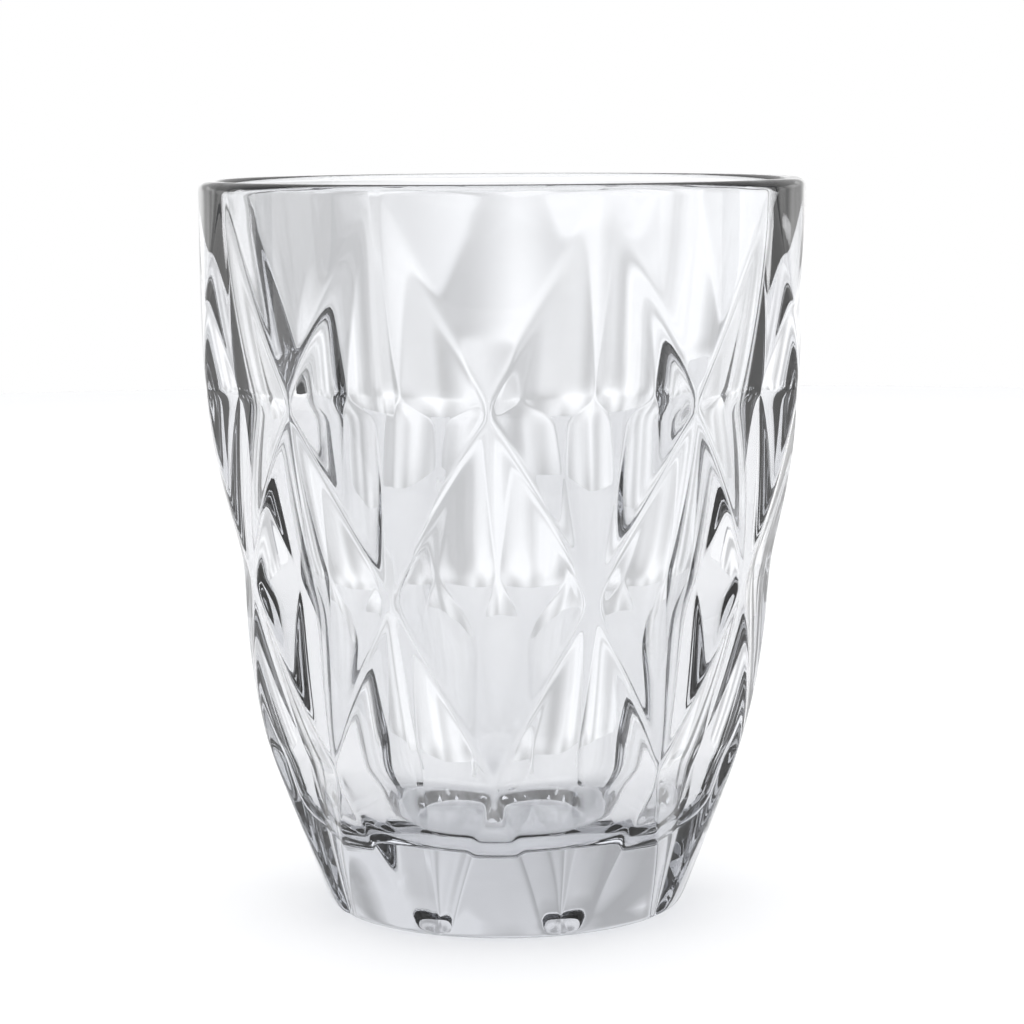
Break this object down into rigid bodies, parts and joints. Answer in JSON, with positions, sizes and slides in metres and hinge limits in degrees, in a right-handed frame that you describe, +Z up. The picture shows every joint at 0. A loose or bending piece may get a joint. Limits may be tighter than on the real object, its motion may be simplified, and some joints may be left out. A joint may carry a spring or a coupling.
{
  "type": "whiskey tumbler",
  "caption": "Thick-based clear drinking glass with a round rolled lip, a tapered foot and a lattice of raised ridges around shallow diamond hollows.",
  "frame": {"origin": "centre of the round face that the tumbler rests on", "axes": "+Z up along the tumbler's axis, out through its mouth; -Y is the front, where a crossing of the upper row of ridges stands"},
  "size_m": [0.0824, 0.0824, 0.1],
  "materials": {
    "clear_glass": "fire-polished, clear, colourless"
  },
  "bodies": {
    "root": {"tumbler_glass": "clear_glass"}
  },
  "joints": []
}
